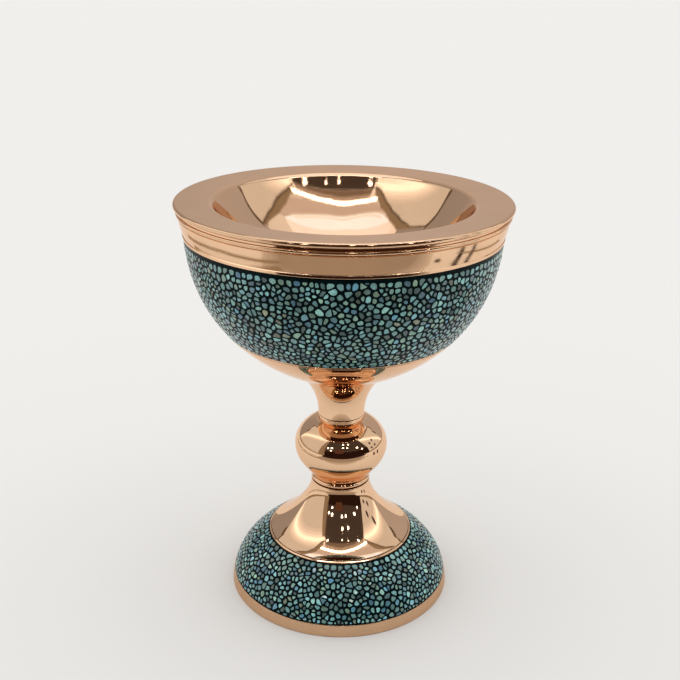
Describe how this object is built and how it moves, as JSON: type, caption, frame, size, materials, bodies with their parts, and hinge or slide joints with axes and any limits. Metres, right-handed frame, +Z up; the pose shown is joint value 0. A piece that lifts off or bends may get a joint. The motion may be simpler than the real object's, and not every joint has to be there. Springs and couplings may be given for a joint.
{
  "type": "pedestal bowl",
  "caption": "Footed copper bowl with a wide flat rim, a knopped stem and turquoise mosaic bands on bowl and foot.",
  "frame": {"origin": "on the table, at the centre of the foot", "axes": "+Z up the axis of the bowl; the bowl is round, so X and Y are free"},
  "size_m": [0.15, 0.15, 0.1933],
  "materials": {
    "polished_copper": "polished copper, lacquered",
    "satin_copper": "satin copper with fine turning lines",
    "turquoise": "turquoise chips ground flush and lacquered",
    "black_mastic": "black mastic, lacquered",
    "steel": "plain turned steel"
  },
  "bodies": {
    "root": {"basin_liner": "polished_copper", "rim_collar": "polished_copper", "bowl_shell": "polished_copper", "bowl_border_wire": "polished_copper", "bowl_mastic_bed": "black_mastic", "bowl_turquoise_inlay": "turquoise", "stem_neck": "polished_copper", "knop_upper_half": "polished_copper", "knop_lower_half": "polished_copper", "stem_collar": "polished_copper", "foot_shell": "polished_copper", "foot_border_wire": "polished_copper", "foot_mastic_bed": "black_mastic", "foot_turquoise_inlay": "turquoise", "base_ring": "satin_copper", "tie_rod": "steel", "foot_washer": "steel", "foot_nut": "steel", "bowl_washer": "steel", "bowl_nut": "steel"}
  },
  "joints": []
}
